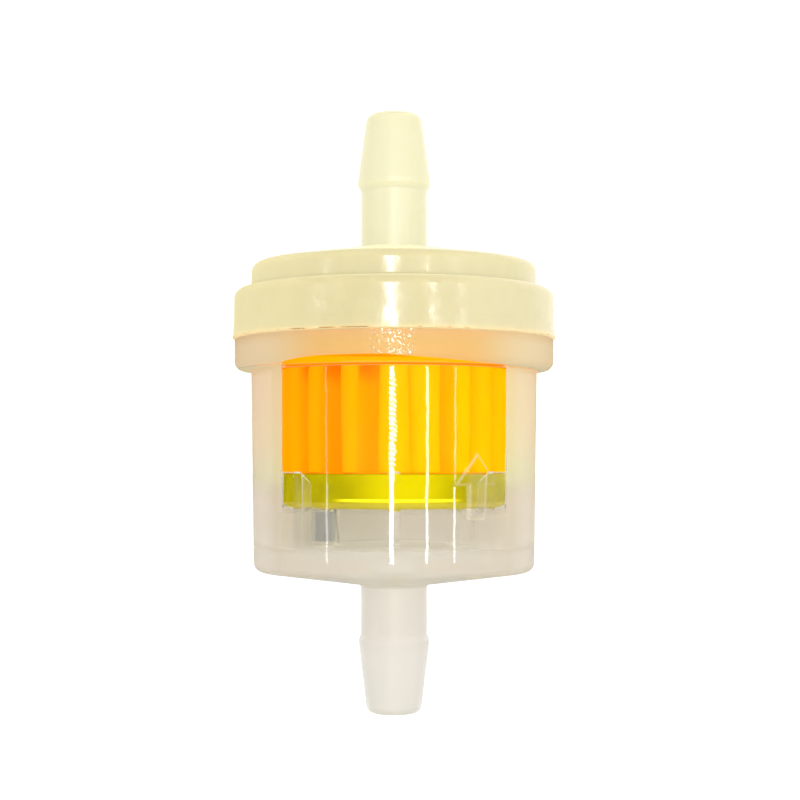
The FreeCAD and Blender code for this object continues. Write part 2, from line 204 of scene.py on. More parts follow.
def surface(name, grid, material, loop=True, sharp=32.0):
    """Closed mesh over a grid of points (rows, columns, 3). Columns wrap; rows wrap, or end in poles."""
    rows, columns = grid.shape[:2]
    points = grid.reshape(-1, 3)
    faces = []
    for row in range(rows if loop else rows - 1):
        low = row * columns
        high = ((row + 1) % rows) * columns
        for column in range(columns):
            following = (column + 1) % columns
            faces.append((low + column, low + following, high + following, high + column))
    if not loop:
        first, last = len(points), len(points) + 1
        points = np.concatenate([points, [grid[0].mean(axis=0)], [grid[-1].mean(axis=0)]])
        top = (rows - 1) * columns
        for column in range(columns):
            following = (column + 1) % columns
            faces.append((first, following, column))
            faces.append((last, top + column, top + following))
    mesh = bpy.data.meshes.new(name)
    mesh.from_pydata([tuple(p) for p in points * MM], [], faces)
    triangles = np.array([points[list(f[:3])] for f in faces])
    volume = np.einsum("ij,ij->i", triangles[:, 0], np.cross(triangles[:, 1], triangles[:, 2])).sum()
    if volume < 0:
        mesh.flip_normals()
    mesh.shade_smooth()
    mesh.set_sharp_from_angle(angle=math.radians(sharp))
    piece = bpy.data.objects.new(name, mesh)
    bpy.context.scene.collection.objects.link(piece)
    mesh.materials.append(material)
    return piece


def lathe(name, outline, material, columns=256, loop=True):
    """A turned piece: the outline (radius, height) swept once around Z."""
    azimuth = np.linspace(0, 360, columns, endpoint=False)
    x, y = polar(outline[:, :1], azimuth[None, :])
    z = np.broadcast_to(outline[:, 1:], x.shape)
    return surface(name, np.stack([x, y, z], axis=2), material, loop=loop)


def stand_for(piece, node):
    """Show this piece in place of a CAD node."""
    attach(piece, "root")
    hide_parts(node)
    return piece


# ---------------------------------------------------------------- inlet cup

def cup_outside():
    """Outline from the inlet bore's mouth, up the outside and over the weld rim to the cup's mouth."""
    land_top = INLET_CREST + CREST_LAND
    face = JOINT - JOINT_GAP
    mouth = JOINT - 0.03
    tongue_top = mouth + TONGUE
    return rounded([
        (BORE, 0.0, 0),
        (TIP_RADIUS, 0.0, TIP_ROUND),
        (INLET_CREST_RADIUS, INLET_CREST, 0.25),
        (INLET_CREST_RADIUS, land_top, 0.15),
        (STEM, land_top + CREST_BACK, 0.4),
        (STEM, CUP_ROOT, 0.4),
        (WALL_LOW_RADIUS, WALL_LOW, 0.9),
        (WALL_TOP_RADIUS, RIM_LOW, 0.3),
        (RIM_RADIUS, RIM_LOW, 0.85),
        (RIM_RADIUS, face, 0.05),
        (TONGUE_OUTER + TONGUE_GAP, face, 0.05),
        (TONGUE_OUTER, tongue_top, 0.1),
        (TONGUE_INNER, tongue_top, 0.1),
        (TONGUE_INNER - TONGUE_GAP, mouth, 0.05),
        (MOUTH_RADIUS, mouth, 0.15),
        (CHAMBER_TOP_RADIUS, RIB_TOP + 0.5, 0),
    ])


def cup_paths():
    """Inside outlines from the rib's top to the floor, on the plain wall and along a rib."""
    slope = (FLOOR_EDGE - FLOOR_ROOT) / (CHAMBER_RADIUS - BORE)
    leg_floor = FLOOR_EDGE - slope * (CHAMBER_RADIUS - RIB_LEG_RADIUS)
    foot = 0.3
    start = (CHAMBER_TOP_RADIUS, RIB_TOP, 0)
    end = (RIB_LEG_RADIUS - foot, leg_floor - foot * slope, 0)
    wall = rounded([start, (CHAMBER_RADIUS, FLOOR_EDGE, 0.8), end])
    rib = rounded([
        start,
        (RIB_SEAT_RADIUS, RIB_SHOULDER, 0.5),
        (RIB_SEAT_RADIUS, RIB_SEAT, 0.15),
        (RIB_LEG_RADIUS, RIB_SEAT, 0.25),
        (RIB_LEG_RADIUS, leg_floor, 0.25),
        end,
    ], arc_step=15.0)
    count = 84
    return resampled(wall, count), resampled(rib, count)


def cup_columns():
    """Columns around the cup: ("rib", rib, sideways offset, setback) and ("gap", rib, fraction, offset)."""
    shoulder = RIB_HALF + 0.03
    half = [(0.48, 0.1), (0.44, 0.03), (RIB_BEVEL, 0.0)]
    on_rib = [(-shoulder, None)] + [(-offset, setback) for offset, setback in half] + [(0.0, 0.0)]
    on_rib += half[::-1] + [(shoulder, None)]
    coarse, fine = 21, 74
    arrow_start = 0.48
    columns = []
    for rib in range(RIB_COUNT):
        columns += [("rib", rib, offset, setback) for offset, setback in on_rib]
        azimuth = rib * RIB_PITCH
        fractions = np.linspace(0, 1, coarse)[1:-1]
        if azimuth < ARROW_AZIMUTH < azimuth + RIB_PITCH:
            dense = np.linspace(arrow_start, 1.0, fine)[:-1]
            fractions = np.concatenate([fractions[fractions < arrow_start], dense])
        columns += [("gap", rib, fraction, shoulder) for fraction in fractions]
    return columns


def arrow_distance(side, height):
    """Signed distance from the arrow's outline, negative inside, at points beside and above its foot."""
    corners = [(0, ARROW_TIP), (-ARROW_HALF, ARROW_NECK), (-ARROW_SHAFT_HALF, ARROW_NECK),
               (-ARROW_SHAFT_HALF, ARROW_FOOT), (ARROW_SHAFT_HALF, ARROW_FOOT),
               (ARROW_SHAFT_HALF, ARROW_NECK), (ARROW_HALF, ARROW_NECK)]
    nearest = np.full(side.shape, np.inf)
    inside = np.zeros(side.shape, bool)
    for (x0, z0), (x1, z1) in zip(corners, corners[1:] + corners[:1]):
        dx, dz = x1 - x0, z1 - z0
        along = np.clip(((side - x0) * dx + (height - z0) * dz) / (dx * dx + dz * dz), 0, 1)
        nearest = np.minimum(nearest, np.hypot(side - x0 - along * dx, height - z0 - along * dz))
        crosses = (z0 > height) != (z1 > height)
        if dz:
            inside ^= crosses & (side < x0 + (height - z0) * dx / dz)
    return np.where(inside, -nearest, nearest)


def arrow_relief(distance):
    """How far the raised arrow lifts the cup's outside, with soft moulded edges."""
    edge = 0.36
    ramp = np.clip(0.5 - distance / edge, 0, 1)
    return ARROW_RELIEF * ramp * ramp * (3 - 2 * ramp)


def cup_rows():
    """Rows round the cup's section: point between ribs, point on a rib, whether it is outside."""
    outside = cup_outside()
    below = [p for p in outside if p[1] <= WALL_LOW + 1.2 and p[0] < WALL_TOP_RADIUS - 0.1]
    lower = divided(np.array(below), 0.9)
    top = outside[len(below):]
    start, end = lower[-1], top[0]
    coarse, fine = 0.8, 0.12
    heights = np.concatenate([
        np.arange(start[1] + coarse, ARROW_FOOT - 0.3, coarse),
        np.arange(ARROW_FOOT - 0.2, ARROW_TIP + 0.25, fine),
        np.arange(ARROW_TIP + 0.6, end[1] - 0.3, coarse),
    ])
    share = (heights - start[1]) / (end[1] - start[1])
    wall = np.stack([start[0] + share * (end[0] - start[0]), heights], axis=1)
    inner_wall, inner_rib = cup_paths()
    floor = divided(rounded([
        tuple(inner_wall[-1]) + (0,),
        (BORE + BORE_FLARE, FLOOR_ROOT, 0.15),
        (BORE, FLOOR_ROOT - 0.6, 0.2),
        (BORE, 1.0, 0),
    ]), 1.2)[1:]
    rows = [(p, p, True) for p in np.concatenate([lower, wall, divided(top, 1.2)])]
    rows += [(w, r, False) for w, r in zip(inner_wall, inner_rib)]
    rows += [(p, p, False) for p in floor]
    return rows


def cup_point(row, column):
    """One point of the cup, where a row of its section meets a column around it."""
    wall_point, rib_point, _ = row
    kind, rib, value, extra = column
    radius, height = wall_point
    if kind == "gap":
        edge = math.degrees(math.asin(extra / radius))
        x, y = polar(radius, rib * RIB_PITCH + edge + value * (RIB_PITCH - 2 * edge))
        return x, y, height
    along = math.sqrt(radius * radius - value * value)
    if extra is not None and wall_point is not rib_point:
        radius, height = rib_point
        on_wall = CHAMBER_TOP_RADIUS - 0.05 < radius
        along = math.sqrt(radius * radius - value * value) if on_wall else radius + extra
    angle = math.radians(rib * RIB_PITCH)
    x = along * math.sin(angle) + value * math.cos(angle)
    y = -along * math.cos(angle) + value * math.sin(angle)
    return x, y, height


def add_attribute(piece, name, values):
    """A number for each point of a piece's mesh, for its material to read."""
    attribute = piece.data.attributes.new(name, "FLOAT", "POINT")
    attribute.data.foreach_set("value", np.ascontiguousarray(values, dtype=np.float32).ravel())


def build_cup(material):
    """The whole cup as one closed grid; its points carry where the arrow and the ribs' bevels are."""
    rows = cup_rows()
    columns = cup_columns()
    grid = np.array([[cup_point(row, column) for column in columns] for row in rows])
    outer = np.array([is_outer and p[0] > TONGUE_INNER for p, _, is_outer in rows])[:, None]
    radius = np.hypot(grid[..., 0], grid[..., 1])
    azimuth = np.degrees(np.arctan2(grid[..., 0], -grid[..., 1]))
    sideways = np.radians(azimuth - ARROW_AZIMUTH) * radius
    far = 9.0
    distance = np.where(outer, arrow_distance(sideways, grid[..., 2]), far)
    grid[..., :2] *= (1 + arrow_relief(distance) / radius)[..., None]

    bevelled = [kind == "rib" and RIB_BEVEL <= abs(value) < RIB_HALF for kind, _, value, _ in columns]
    on_rib = [rib is not wall and rib[0] < CHAMBER_RADIUS - 0.35 for wall, rib, _ in rows]
    line, reach = 0.1, 0.4
    piece = surface("clear_cup", grid, material)
    add_attribute(piece, "outline", np.exp(-(distance / line) ** 2))
    add_attribute(piece, "arrow", np.clip(1.4 - distance / reach, 0, 1))
    add_attribute(piece, "bevel", np.outer(on_rib, bevelled))
    return stand_for(piece, "inlet_cup")


# ---------------------------------------------------------------- outlet cap

def build_cap(material):
    """Outlet barb, disc, flange with its lip, groove for the tongue, skirt, boss and spigot."""
    face = JOINT + JOINT_GAP
    groove_inner = TONGUE_INNER - TONGUE_GAP
    groove_outer = TONGUE_OUTER + TONGUE_GAP
    skirt = MOUTH_RADIUS - 0.06
    boss_face = UPPER_HIGH.z + 0.02
    seam = (BORE, LENGTH - 2.0, 0)
    outline = rounded([
        seam,
        (BORE, LENGTH, 0.15),
        (TIP_RADIUS, LENGTH, TIP_ROUND),
        (OUTLET_CREST_RADIUS, OUTLET_CREST + CREST_LAND, 0.25),
        (OUTLET_CREST_RADIUS, OUTLET_CREST, 0.15),
        (STEM, OUTLET_CREST - CREST_BACK, 0.4),
        (STEM, DISC_TOP, 0.75),
        (DISC_RADIUS - 0.05, DISC_TOP, 0.85),
        (DISC_RADIUS, FLANGE_TOP, 0.25),
        (FLANGE_TOP_RADIUS, FLANGE_TOP - FLANGE_DROP, 0.95),
        (FLANGE_LOW_RADIUS, JOINT + LIP_HEIGHT, 1.0),
        (LIP_RADIUS - 0.01, face, 0.08),
        (groove_outer, face, 0.05),
        (groove_outer, face + TONGUE, 0.1),
        (groove_inner, face + TONGUE, 0.1),
        (groove_inner, face, 0.05),
        (skirt, face, 0.2),
        (skirt, CAP_LOW.z, 0.25),
        (SKIRT_INNER, CAP_LOW.z, 0.25),
        (SKIRT_INNER, CEILING, 0.5),
        (BOSS_RADIUS, CEILING, 0.3),
        (BOSS_RADIUS, boss_face, 0.15),
        (SPIGOT_RADIUS, boss_face, 0.1),
        (SPIGOT_RADIUS, SPIGOT_LOW, 0.2),
        (SPIGOT_BORE, SPIGOT_LOW, 0.2),
        (SPIGOT_BORE, CEILING, 0.5),
        (BORE, CEILING + FUNNEL, 0.3),
        seam,
    ])[:-1]
    return stand_for(lathe("cream_cap", divided(outline, 1.2), material), "outlet_cap")


# ---------------------------------------------------------------- filter element

PLEATS = 18
PAPER = 0.35
CORE = 5.0
VALLEY_ROUND = 0.45
# Azimuth and outer fold's radius of the pleats in front: the folded paper isn't even.
FRONT_PLEATS = {
    0: (0.5, 1.35), 1: (17.0, 1.3), 2: (35.0, 0.8), 3: (51.0, 1.1), 4: (71.0, 0.95),
    17: (-22.0, 0.7), 16: (-42.0, 0.65), 15: (-60.0, 0.9), 14: (-79.0, 1.0),
}


def pleat_row(angles, rounds, outer, core):
    """Middle line of the folded paper at one height: circles for the folds, straight paper between."""
    crest_steps, flank_steps, valley_steps = 14, 7, 8
    count = len(angles)
    crests = []
    valleys = []
    for index in range(count):
        distance = outer[index] - PAPER / 2 - rounds[index]
        crests.append(np.array(polar(distance, angles[index])))
        following = angles[(index + 1) % count] + (360 if index == count - 1 else 0)
        middle = (angles[index] + following) / 2
        valleys.append(np.array(polar(core + PAPER / 2 + VALLEY_ROUND, middle)))
    line = []
    for index in range(count):
        crest, valley = crests[index], valleys[index]
        last = valleys[index - 1]
        arrive = touching(crest, last, rounds[index], VALLEY_ROUND, side=-1)
        leave = touching(crest, valley, rounds[index], VALLEY_ROUND, side=1)
        line += arc(crest, rounds[index], arrive, leave, crest_steps)
        start = crest + rounds[index] * leave
        end = valley - VALLEY_ROUND * leave
        line += [start + (end - start) * k / flank_steps for k in range(1, flank_steps)]
        following = crests[(index + 1) % count]
        onward = touching(following, valley, rounds[(index + 1) % count], VALLEY_ROUND, side=-1)
        line += arc(valley, VALLEY_ROUND, -leave, -onward, valley_steps, back=True)
        start = valley - VALLEY_ROUND * onward
        end = following + rounds[(index + 1) % count] * onward
        line += [start + (end - start) * k / flank_steps for k in range(1, flank_steps)]
    return np.array(line)


def touching(crest, valley, crest_round, valley_round, side):
    """Direction from a crest's centre to where the straight paper to a valley leaves it."""
    along = valley - crest
    distance = np.linalg.norm(along)
    along = along / distance
    across = np.array([-along[1], along[0]]) * -side
    lean = math.acos((crest_round + valley_round) / distance)
    return along * math.cos(lean) + across * math.sin(lean)


def arc(centre, radius, start, end, steps, back=False):
    """Points on a circle between two directions, the way round that azimuth grows, or back."""
    first = math.atan2(start[1], start[0])
    sweep = (math.atan2(end[1], end[0]) - first) % (2 * math.pi)
    if back:
        sweep -= 2 * math.pi
    angles = [first + sweep * k / steps for k in range(steps + 1)]
    return [centre + radius * np.array([math.cos(a), math.sin(a)]) for a in angles]


def build_paper(material):
    """The folded strip, wide between the end caps and narrower where the adhesive holds it."""
    random = np.random.default_rng(7)
    even = np.array([index * 360 / PLEATS for index in range(PLEATS)])
    angles = even + random.uniform(-2.0, 2.0, PLEATS)
    rounds = random.uniform(0.8, 1.15, PLEATS)
    for index, (azimuth, fold) in FRONT_PLEATS.items():
        angles[index] = azimuth % 360 if index else azimuth
        rounds[index] = fold
    swing = random.uniform(-1.2, 1.2, (2, PLEATS))
    pinch = random.uniform(0.75, 1.0, (2, PLEATS))
    clear = 0.12
    low = DISH_HIGH.z + clear
    high = UPPER_LOW.z - clear
    heights = [PAPER_LOW.z, low - 0.01, low] + list(np.linspace(low + 0.15, high - 0.15, 34))
    heights += [high, high + 0.01, PAPER_HIGH.z]
    held = DISH_HIGH.x - 0.65
    wide = PAPER_HIGH.x - 0.05
    swell = 0.12
    outside, inside = [], []
    for height in heights:
        share = float(np.clip((height - low) / (high - low), 0, 1))
        narrow = height < low or height > high
        bow = math.sin(math.pi * share)
        drift = (swing[0] * (1 - share) + swing[1] * share) * (0.4 + 0.6 * bow)
        fold = rounds * (pinch[0] * (1 - share) + pinch[1] * share)
        reach = np.full(PLEATS, held if narrow else wide - swell * (1 - bow))
        line = pleat_row(angles + drift, fold, reach, CORE)
        tangent = np.roll(line, -1, axis=0) - np.roll(line, 1, axis=0)
        tangent /= np.linalg.norm(tangent, axis=1)[:, None]
        normal = np.stack([tangent[:, 1], -tangent[:, 0]], axis=1)
        level = np.full((len(line), 1), height)
        outside.append(np.hstack([line + normal * PAPER / 2, level]))
        inside.append(np.hstack([line - normal * PAPER / 2, level]))
    grid = np.array(outside + inside[::-1])
    return stand_for(surface("paper_pleats", grid, material, sharp=50), "pleated_paper")


def build_dish(material):
    """Moulded end cap under the paper, with a soft lower edge and a thin rim."""
    radius = DISH_HIGH.x
    wall = 0.5
    plate_top = DISH_LOW.z + 0.8
    step = DISH_LOW.z + 0.12
    centre = 0.4
    outline = rounded([
        (centre, DISH_LOW.z, 0),
        (radius - 1.3, DISH_LOW.z, 0.3),
        (radius - 1.15, step, 0.1),
        (radius, step, 0.45),
        (radius, DISH_HIGH.z, 0.12),
        (radius - wall, DISH_HIGH.z, 0.12),
        (radius - wall, plate_top, 0.2),
        (centre, plate_top, 0),
    ])
    piece = lathe("end_dish", divided(outline, 1.5), material, loop=False)
    return stand_for(piece, "lower_end_cap")


# ---------------------------------------------------------------- materials

class Nodes:
    """Short names for building a shader tree."""

    def __init__(self, tree):
        self.tree = tree
        tree.nodes.clear()

    def add(self, kind, settings=None, **inputs):
        """A node with its settings and inputs; an underscore in an input's name stands for a space."""
        node = self.tree.nodes.new(kind)
        for key, value in (settings or {}).items():
            setattr(node, key, value)
        for key, value in inputs.items():
            self.feed(node.inputs[key.replace("_", " ")], value)
        return node

    def feed(self, socket, value):
        """Link another node's output to a socket, or set the socket to a plain value or colour."""
        if isinstance(value, bpy.types.NodeSocket):
            self.tree.links.new(value, socket)
        elif isinstance(value, (tuple, list)) and len(value) == 3 and socket.type == "RGBA":
            socket.default_value = (*value, 1.0)
        else:
            socket.default_value = value

    def math(self, operation, first, second=0.0, clamp=False):
        node = self.add("ShaderNodeMath", {"operation": operation, "use_clamp": clamp})
        self.feed(node.inputs[0], first)
        self.feed(node.inputs[1], second)
        return node.outputs[0]

    def chain(self, operation, values):
        result = values[0]
        for value in values[1:]:
            result = self.math(operation, result, value)
        return result

    def times(self, *values):
        return self.chain("MULTIPLY", values)

    def plus(self, *values):
        return self.chain("ADD", values)

    def strongest(self, *values):
        return self.chain("MAXIMUM", values)

    def minus(self, first, second):
        return self.math("SUBTRACT", first, second)

    def rest(self, share):
        """What a share leaves of 1."""
        return self.minus(1.0, share)

    def size(self, value):
        return self.math("ABSOLUTE", value)

    def over(self, value, limit):
        return self.math("GREATER_THAN", value, limit)

    def under(self, value, limit):
        return self.math("LESS_THAN", value, limit)

    def ramp(self, value, low, high, first=0.0, last=1.0, smooth=True):
        """A value that goes from first to last as the input goes from low to high."""
        kind = "SMOOTHSTEP" if smooth else "LINEAR"
        node = self.add("ShaderNodeMapRange", {"interpolation_type": kind})
        for socket, number in zip(node.inputs, (value, low, high, first, last)):
            self.feed(socket, number)
        return node.outputs[0]

    def fade(self, value, low, high):
        """1 below low, falling to 0 above high."""
        return self.ramp(value, low, high, 1.0, 0.0)

    def window(self, value, low, high, soft):
        """1 between low and high, 0 outside, with soft edges."""
        opening = self.ramp(value, low - soft, low + soft)
        closing = self.fade(value, high - soft, high + soft)
        return self.times(opening, closing)

    def blend(self, factor, first, second):
        """A colour from first to second as the factor goes from 0 to 1."""
        node = self.add("ShaderNodeMix", {"data_type": "RGBA"})
        self.feed(node.inputs[0], factor)
        self.feed(node.inputs[6], first)
        self.feed(node.inputs[7], second)
        return node.outputs[2]

    def mix(self, factor, first, second):
        """A shader from first to second as the factor goes from 0 to 1."""
        node = self.add("ShaderNodeMixShader")
        for socket, value in zip(node.inputs, (factor, first, second)):
            self.feed(socket, value)
        return node.outputs[0]

    def noise(self, vector, scale, detail=3.0, stretch=None):
        if stretch:
            vector = self.add("ShaderNodeMapping", Vector=vector, Scale=stretch).outputs[0]
        return self.add("ShaderNodeTexNoise", Vector=vector, Scale=scale, Detail=detail).outputs[0]

    def attribute(self, name):
        return self.add("ShaderNodeAttribute", {"attribute_name": name}).outputs["Fac"]

    def bump(self, height, distance, normal=None):
        """A normal disturbed by a height of up to a distance in metres."""
        node = self.add("ShaderNodeBump", Strength=1.0, Distance=distance, Height=height)
        if normal is not None:
            self.feed(node.inputs["Normal"], normal)
        return node.outputs[0]

    def place(self):
        """Object coordinates in millimetres: the vector, X, Y, Z and the distance from the axis."""
        coordinates = self.add("ShaderNodeTexCoord").outputs["Object"]
        scaled = self.add("ShaderNodeVectorMath", {"operation": "SCALE"})
        self.feed(scaled.inputs[0], coordinates)
        self.feed(scaled.inputs["Scale"], 1 / MM)
        vector = scaled.outputs[0]
        x, y, z = self.add("ShaderNodeSeparateXYZ", Vector=vector).outputs
        return vector, x, y, z, self.length(x, y)

    def length(self, x, y):
        return self.math("SQRT", self.plus(self.times(x, x), self.times(y, y)))

    def output(self, shader):
        self.add("ShaderNodeOutputMaterial", Surface=shader)


def new_material(name):
    """An empty material and the helper for its tree."""
    material = bpy.data.materials.new(name)
    material.use_nodes = True
    return material, Nodes(material.node_tree)


def off_axis(n, x, y):
    """How far the line of sight passes from the axis, in millimetres, whatever the height."""
    incoming = n.add("ShaderNodeNewGeometry").outputs["Incoming"]
    across, along, _ = n.add("ShaderNodeSeparateXYZ", Vector=incoming).outputs
    turn = n.minus(n.times(x, along), n.times(y, across))
    return n.math("DIVIDE", n.size(turn), n.math("MAXIMUM", n.length(across, along), 0.001))


# The clear cup's material is put together from the zones of the cup. A zone is a node value, 0 outside it
# and 1 in it. The haze says how much of the nylon there is milky, and the milk is the haze's colour.

def weld_zone(n, x, z, radius):
    """The weld rim, whose lower edge shows the element's top through the wall as a shallow arch."""
    left = n.times(n.math("POWER", n.ramp(x, -10.6, 0.0, 1.0, 0.0, smooth=False), 5.0), 0.62)
    right = n.ramp(x, -1.0, 10.6, 0.0, 0.82, smooth=False)
    arched = n.plus(z, n.plus(left, right))
    return n.times(n.ramp(arched, RIM_LOW + 0.72, RIM_LOW + 0.84), n.over(radius, WALL_LOW_RADIUS))


def cup_zones(n):
    """Every zone of the cup by name, with the place of the point."""
    vector, x, y, z, radius = n.place()
    cup = SimpleNamespace(vector=vector, x=x, y=y, z=z, radius=radius, miss=off_axis(n, x, y))
    cup.stem = n.fade(z, CUP_ROOT - 0.65, CUP_ROOT + 1.15)
    cup.floor = n.fade(z, FLOOR_EDGE - 0.2, FLOOR_EDGE + 1.4)
    cup.chamber = n.fade(z, RIB_SEAT - 0.6, RIB_SEAT + 0.3)
    cup.rim = weld_zone(n, x, z, radius)
    cup.wall = n.over(radius, CHAMBER_RADIUS - 0.85)
    front_wall = n.times(cup.wall, n.under(y, 0.0))

    beyond = n.ramp(cup.miss, DISH_HIGH.x + 0.1, DISH_HIGH.x + 0.32)
    cup.side = n.times(beyond, n.times(cup.wall, n.rest(cup.rim)))
    inner = n.times(n.fade(radius, CHAMBER_RADIUS - 0.2, CHAMBER_RADIUS - 0.1),
                    n.ramp(radius, RIB_LEG_RADIUS - 0.35, RIB_LEG_RADIUS - 0.15))
    upright = n.times(n.ramp(z, FLOOR_EDGE + 0.1, FLOOR_EDGE + 0.3),
                      n.fade(z, RIB_TOP - 0.05, RIB_TOP + 0.15))
    cup.rib = n.times(inner, upright)
    left_rib = n.times(cup.rib, n.under(x, -2.0))
    near_left = n.times(left_rib, n.times(n.under(y, -2.0), cup.chamber))
    cup.shaded = n.strongest(n.times(left_rib, n.over(y, 2.0)), n.times(near_left, 0.5))
    below_seat = n.window(z, RIB_SEAT - 2.85, RIB_SEAT - 0.15, 0.08)
    cup.shadow = n.times(n.window(x, -7.1, -5.2, 0.08), below_seat, front_wall)

    # The ledge is the band under the rim that cup_milk paints in the paper's orange, as painted light seen
    # through the rim's corner.
    ledge = n.times(n.window(z, RIM_LOW - 0.3, RIM_LOW + 0.05, 0.04),
                    n.ramp(radius, WALL_TOP_RADIUS + 0.02, WALL_TOP_RADIUS + 0.1))
    cup.ledge = n.times(ledge, n.fade(cup.miss, 10.4, 10.9))
    cup.outline = n.attribute("outline")
    cup.bevel = n.times(n.attribute("bevel"), n.ramp(n.size(x), 1.5, 3.0))
    beside_dish = n.window(z, ARROW_FOOT, DISH_HIGH.z, 0.15)
    cup.by_arrow = n.times(n.window(x, 6.5, 12.0, 0.4), beside_dish, front_wall)
    return cup


def cup_haze(n, cup, path):
    """How milky the nylon looks: more where the light runs a long way through it."""
    second_wall = n.ramp(path.outputs["Ray Depth"], 1.4, 1.6, smooth=False)
    behind = n.times(second_wall, n.rest(cup.rib), n.ramp(cup.chamber, 0.0, 1.0, 1.0, 1.25))
    haze = n.strongest(
        n.times(cup.side, 0.8),
        n.times(behind, 0.6),
        n.times(cup.chamber, cup.wall, n.ramp(cup.miss, 7.0, 12.0, 0.4, 0.8)),
        n.times(cup.floor, 0.7),
        n.times(cup.stem, 0.75),
        n.times(cup.rim, n.ramp(cup.miss, 7.0, 12.5, 0.8, 0.92)),
        n.times(cup.shaded, 0.9),
        n.times(cup.shadow, 0.6),
        cup.ledge,
        n.times(cup.outline, 0.4),
        n.times(cup.bevel, 0.12),
        n.times(cup.by_arrow, 0.1),
    )
    cloud = n.noise(cup.vector, 0.35, 4.0)
    return n.math("ADD", haze, n.ramp(cloud, 0.35, 0.7, 0.0, 0.004), clamp=True)


def cup_milk(n, cup):
    """Colour of the haze, zone by zone."""
    edge_on = n.ramp(cup.miss, 6.0, 12.5)
    milk = n.blend(n.fade(cup.miss, 10.6, 13.0), (0.58, 0.66, 0.49), (0.57, 0.67, 0.44))
    # Darker on the left than on the right: painted shade of the light falling from the right.
    low = n.blend(n.ramp(cup.x, -2.5, 0.5), (0.44, 0.41, 0.325), (0.495, 0.455, 0.385))
    low_down = n.fade(cup.z, DISH_LOW.z + 0.5, DISH_LOW.z + 4.0)
    milk = n.blend(low_down, milk, n.blend(edge_on, low, (0.61, 0.55, 0.445)))
    milk = n.blend(cup.floor, milk, n.blend(edge_on, (0.56, 0.53, 0.46), (0.62, 0.57, 0.48)))
    above_crest = n.ramp(cup.z, INLET_CREST - 1.75, INLET_CREST + 1.75)
    barb = n.blend(above_crest, (0.64, 0.61, 0.56), (0.605, 0.567, 0.505))
    milk = n.blend(cup.stem, milk, barb)
    # The rim's milk is painted yellower in the middle and warmer towards the joint: painted orange light
    # from the paper behind it.
    rim = n.blend(n.ramp(cup.miss, 6.5, 14.0), (0.45, 0.47, 0.225), (0.555, 0.63, 0.475))
    rim = n.blend(n.ramp(cup.z, JOINT - 1.1, JOINT - 0.1, 0.0, 0.5), rim, (0.56, 0.48, 0.28))
    milk = n.blend(cup.rim, milk, rim)
    milk = n.blend(cup.shaded, milk, (0.14, 0.155, 0.16))
    milk = n.blend(cup.shadow, milk, (0.27, 0.27, 0.255))
    # The ledge is painted the paper's orange: painted light of the paper seen through the rim's rounded
    # corner.
    milk = n.blend(cup.ledge, milk, (0.92, 0.27, 0.0))
    # The arrow's outline and the ribs' bevels get a paler milk: painted highlight along edges that catch
    # the light.
    return n.blend(n.strongest(cup.outline, cup.bevel), milk, (0.72, 0.68, 0.52))


def cup_normals(n, cup):
    """Normals for the Fresnel share, for refraction and for the highlights, from smooth to fine."""
    soft = n.bump(n.noise(cup.vector, 0.22, 2.0), 0.00003)
    grain = n.noise(cup.vector, 4.6, 2.0)
    grained = n.bump(n.times(grain, cup.rim), 0.00004, soft)
    turned = n.add("ShaderNodeCombineXYZ", X=cup.x, Y=cup.y, Z=n.times(cup.radius, -0.013)).outputs[0]
    turned = n.add("ShaderNodeVectorMath", {"operation": "NORMALIZE"}, Vector=turned).outputs[0]
    flattened = n.add("ShaderNodeMix", {"data_type": "VECTOR"})
    for socket, value in zip((0, 4, 5), (n.attribute("arrow"), grained, turned)):
        n.feed(flattened.inputs[socket], value)

    wander = n.times(n.noise(cup.vector, 1.3, 1.0), 4.0)
    hatch = n.math("SINE", n.plus(n.times(cup.z, 14.0), n.times(cup.x, 12.0), wander))
    middle = n.times(n.ramp(cup.z, DISH_HIGH.z - 0.3, DISH_HIGH.z + 1.7),
                     n.fade(cup.z, RIM_LOW - 2.1, RIM_LOW - 0.1), n.fade(n.size(cup.x), 1.5, 2.5))
    hatched = n.bump(n.times(hatch, middle), 0.0000014, grained)
    return soft, flattened.outputs[1], hatched


def cup_mirror(n, cup, ior, normal):
    """Share of the light that is mirrored: a thin share outside, broken up on the rim, and total inside."""
    fresnel = n.add("ShaderNodeFresnel", IOR=ior, Normal=normal).outputs[0]
    # The sparkle adds mirror share in noise spots down the front middle of the rim: glints placed where the
    # key light reflects. Over the sides above the dish the mirror share is cut, which dims the side
    # streaks' reflections there.
    sparkle = n.times(n.ramp(n.noise(cup.vector, 4.4, 2.0), 0.52, 0.62), n.window(cup.x, -2.2, 1.8, 0.4))
    dimmed_sides = n.times(n.ramp(n.size(cup.x), 4.0, 5.0), n.ramp(cup.z, DISH_LOW.z + 1.0, DISH_LOW.z + 3.0))
    smooth = n.math("MINIMUM", fresnel, n.minus(0.12, n.times(dimmed_sides, 0.108)))
    smooth = n.times(smooth, n.rest(cup.ledge), n.rest(n.times(cup.rim, 0.85)))
    outward = n.plus(n.times(cup.rim, sparkle, 0.16), smooth)
    back = n.add("ShaderNodeNewGeometry").outputs["Backfacing"]
    return n.plus(n.times(back, n.ramp(fresnel, 0.3, 0.95)), n.times(n.rest(back), outward))


